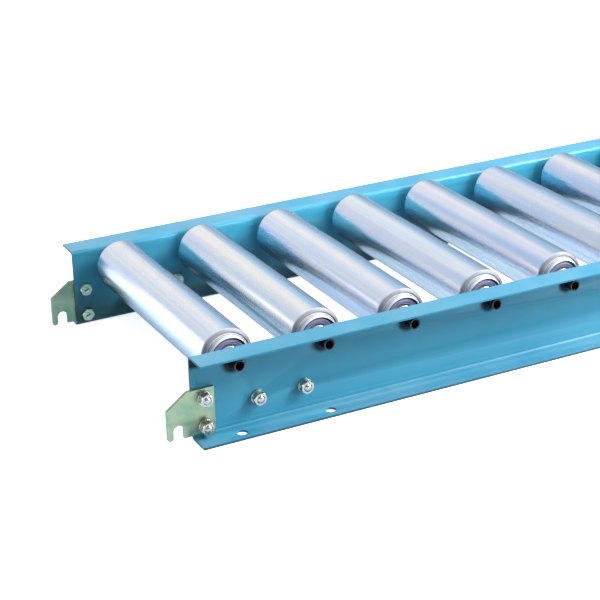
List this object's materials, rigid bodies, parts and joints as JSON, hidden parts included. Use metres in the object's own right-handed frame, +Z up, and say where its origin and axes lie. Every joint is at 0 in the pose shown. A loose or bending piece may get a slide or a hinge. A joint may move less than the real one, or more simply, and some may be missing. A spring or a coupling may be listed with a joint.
{
  "type": "gravity roller conveyor",
  "caption": "Straight gravity roller conveyor section: folded side channels, free-turning tube rollers on fixed hollow axles, hook plates at one end and studs at the other.",
  "frame": {"origin": "middle of the overall footprint, on the plane of the side channels' undersides", "axes": "+X along the conveyor from the hook end to the stud end, +Y to the left side channel, +Z up"},
  "size_m": [1.028, 0.38, 0.1006],
  "materials": {
    "blue_paint": "semi-gloss turquoise blue coat",
    "tube_zinc": "bright zinc plate with a soft lengthwise grain",
    "bearing_zinc": "bright pressed steel",
    "axle_zinc": "bright steel pipe, cut ends",
    "hook_chromate": "pale yellow-green chromate on zinc",
    "fastener_zinc": "bright zinc with a faint green tint",
    "bearing_seal": "dark purple-grey seal",
    "bearing_ball": "polished steel"
  },
  "bodies": {
    "frame": {"side_channel_left": "blue_paint", "hook_plate_left": "hook_chromate", "hook_bolt_left_upper": "fastener_zinc", "hook_bolt_left_lower": "fastener_zinc", "stand_bolt_left_1": "fastener_zinc", "stand_bolt_left_2": "fastener_zinc", "coupling_stud_left": "fastener_zinc", "side_channel_right": "blue_paint", "hook_plate_right": "hook_chromate", "hook_bolt_right_upper": "fastener_zinc", "hook_bolt_right_lower": "fastener_zinc", "stand_bolt_right_1": "fastener_zinc", "stand_bolt_right_2": "fastener_zinc", "coupling_stud_right": "fastener_zinc", "stay_pipe_1": "blue_paint", "tie_rod_1": "fastener_zinc", "stay_pipe_2": "blue_paint", "tie_rod_2": "fastener_zinc", "axle_01": "axle_zinc", "axle_02": "axle_zinc", "axle_03": "axle_zinc", "axle_04": "axle_zinc", "axle_05": "axle_zinc", "axle_06": "axle_zinc", "axle_07": "axle_zinc", "axle_08": "axle_zinc", "axle_09": "axle_zinc", "axle_10": "axle_zinc"},
    "roller_01": {"roller_tube_01": "tube_zinc", "bearing_left_01": "bearing_zinc", "bearing_right_01": "bearing_zinc"},
    "roller_02": {"roller_tube_02": "tube_zinc", "bearing_left_02": "bearing_zinc", "bearing_right_02": "bearing_zinc"},
    "roller_03": {"roller_tube_03": "tube_zinc", "bearing_left_03": "bearing_zinc", "bearing_right_03": "bearing_zinc"},
    "roller_04": {"roller_tube_04": "tube_zinc", "bearing_left_04": "bearing_zinc", "bearing_right_04": "bearing_zinc"},
    "roller_05": {"roller_tube_05": "tube_zinc", "bearing_left_05": "bearing_zinc", "bearing_right_05": "bearing_zinc"},
    "roller_06": {"roller_tube_06": "tube_zinc", "bearing_left_06": "bearing_zinc", "bearing_right_06": "bearing_zinc"},
    "roller_07": {"roller_tube_07": "tube_zinc", "bearing_left_07": "bearing_zinc", "bearing_right_07": "bearing_zinc"},
    "roller_08": {"roller_tube_08": "tube_zinc", "bearing_left_08": "bearing_zinc", "bearing_right_08": "bearing_zinc"},
    "roller_09": {"roller_tube_09": "tube_zinc", "bearing_left_09": "bearing_zinc", "bearing_right_09": "bearing_zinc"},
    "roller_10": {"roller_tube_10": "tube_zinc", "bearing_left_10": "bearing_zinc", "bearing_right_10": "bearing_zinc"}
  },
  "joints": [
    {"name": "roller_01_spin", "type": "hinge", "parent": "frame", "child": "roller_01", "pos_m": [-0.436, 0, 0.072], "axis": [0, 1, 0], "continuous": true},
    {"name": "roller_02_spin", "type": "hinge", "parent": "frame", "child": "roller_02", "pos_m": [-0.336, 0, 0.072], "axis": [0, 1, 0], "continuous": true},
    {"name": "roller_03_spin", "type": "hinge", "parent": "frame", "child": "roller_03", "pos_m": [-0.236, 0, 0.072], "axis": [0, 1, 0], "continuous": true},
    {"name": "roller_04_spin", "type": "hinge", "parent": "frame", "child": "roller_04", "pos_m": [-0.136, 0, 0.072], "axis": [0, 1, 0], "continuous": true},
    {"name": "roller_05_spin", "type": "hinge", "parent": "frame", "child": "roller_05", "pos_m": [-0.036, 0, 0.072], "axis": [0, 1, 0], "continuous": true},
    {"name": "roller_06_spin", "type": "hinge", "parent": "frame", "child": "roller_06", "pos_m": [0.064, 0, 0.072], "axis": [0, 1, 0], "continuous": true},
    {"name": "roller_07_spin", "type": "hinge", "parent": "frame", "child": "roller_07", "pos_m": [0.164, 0, 0.072], "axis": [0, 1, 0], "continuous": true},
    {"name": "roller_08_spin", "type": "hinge", "parent": "frame", "child": "roller_08", "pos_m": [0.264, 0, 0.072], "axis": [0, 1, 0], "continuous": true},
    {"name": "roller_09_spin", "type": "hinge", "parent": "frame", "child": "roller_09", "pos_m": [0.364, 0, 0.072], "axis": [0, 1, 0], "continuous": true},
    {"name": "roller_10_spin", "type": "hinge", "parent": "frame", "child": "roller_10", "pos_m": [0.464, 0, 0.072], "axis": [0, 1, 0], "continuous": true}
  ]
}
